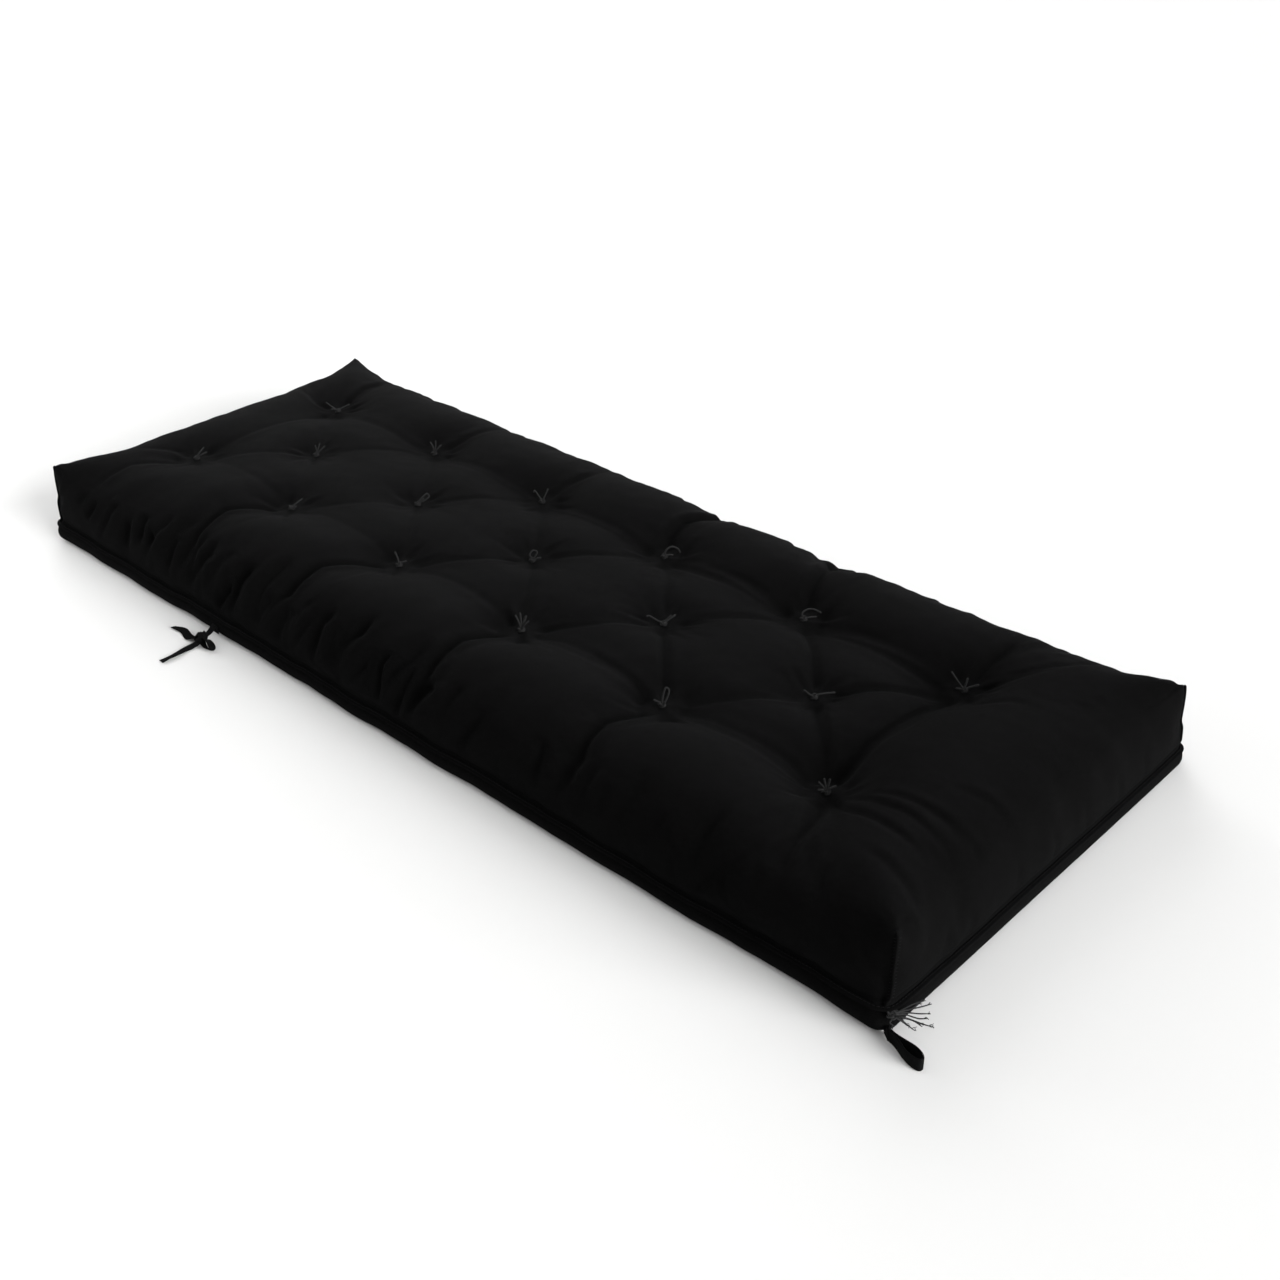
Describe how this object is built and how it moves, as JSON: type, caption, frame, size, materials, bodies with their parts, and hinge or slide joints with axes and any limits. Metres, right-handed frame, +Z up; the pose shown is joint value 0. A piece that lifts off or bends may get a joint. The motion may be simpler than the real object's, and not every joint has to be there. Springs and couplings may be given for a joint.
{
  "type": "futon mattress",
  "caption": "Single futon mattress: a tufted black cotton cover, filled with felt batts round a foam core, with tape loops at one end and a knotted tape tie.",
  "frame": {"origin": "on the flat underside that the mattress lies on, in the middle of the cover's length and width", "axes": "+X along the length, towards the end with the two tape loops; +Z up, out of the tufted top; the long side with the tape tie faces -Y"},
  "size_m": [1.9534, 0.8868, 0.1544],
  "materials": {
    "cover_cloth": "matte",
    "tape": "matte",
    "tuft_twine": "matte",
    "sewing_thread": "matte",
    "tuft_pad": "matte",
    "felt_batt": "matte",
    "foam": "matte"
  },
  "bodies": {
    "mattress": {"top_cover": "cover_cloth", "bottom_cover": "cover_cloth", "edge_welt": "cover_cloth", "corner_seam_front_right": "cover_cloth", "corner_seam_back_right": "cover_cloth", "corner_seam_back_left": "cover_cloth", "corner_seam_front_left": "cover_cloth", "corner_closing_knot": "sewing_thread", "lower_felt_batt_1": "felt_batt", "lower_felt_batt_2": "felt_batt", "upper_felt_batt_1": "felt_batt", "upper_felt_batt_2": "felt_batt", "upper_felt_batt_3": "felt_batt", "foam_edge_strip": "felt_batt", "foam_core": "foam", "tuft_twine_01": "tuft_twine", "tuft_twine_02": "tuft_twine", "tuft_twine_03": "tuft_twine", "tuft_twine_04": "tuft_twine", "tuft_twine_05": "tuft_twine", "tuft_twine_06": "tuft_twine", "tuft_twine_07": "tuft_twine", "tuft_twine_08": "tuft_twine", "tuft_twine_09": "tuft_twine", "tuft_twine_10": "tuft_twine", "tuft_twine_11": "tuft_twine", "tuft_twine_12": "tuft_twine", "tuft_twine_13": "tuft_twine", "tuft_twine_14": "tuft_twine", "tuft_twine_15": "tuft_twine", "tuft_twine_16": "tuft_twine", "tuft_twine_17": "tuft_twine", "tuft_washers": "tuft_pad", "corner_loop_front_root": "tape", "corner_loop_back_root": "tape", "front_tie_root": "tape"},
    "front_tie": {"front_tie_tape_a": "tape", "front_tie_tape_b": "tape"},
    "front_loop": {"corner_loop_front": "tape"},
    "back_loop": {"corner_loop_back": "tape"}
  },
  "joints": [
    {"name": "front_tie_hinge", "type": "hinge", "parent": "mattress", "child": "front_tie", "pos_m": [-0.415, -0.37405, 0.024], "axis": [-1, 0, 0], "range_deg": [0, 90]},
    {"name": "front_loop_swing", "type": "hinge", "parent": "mattress", "child": "front_loop", "pos_m": [0.94669, -0.36339, 0.0103], "axis": [0, 0, 1], "range_deg": [-70, 55]},
    {"name": "back_loop_swing", "type": "hinge", "parent": "mattress", "child": "back_loop", "pos_m": [0.93056, 0.37576, 0.0103], "axis": [0, 0, 1], "range_deg": [-140, 0]}
  ]
}
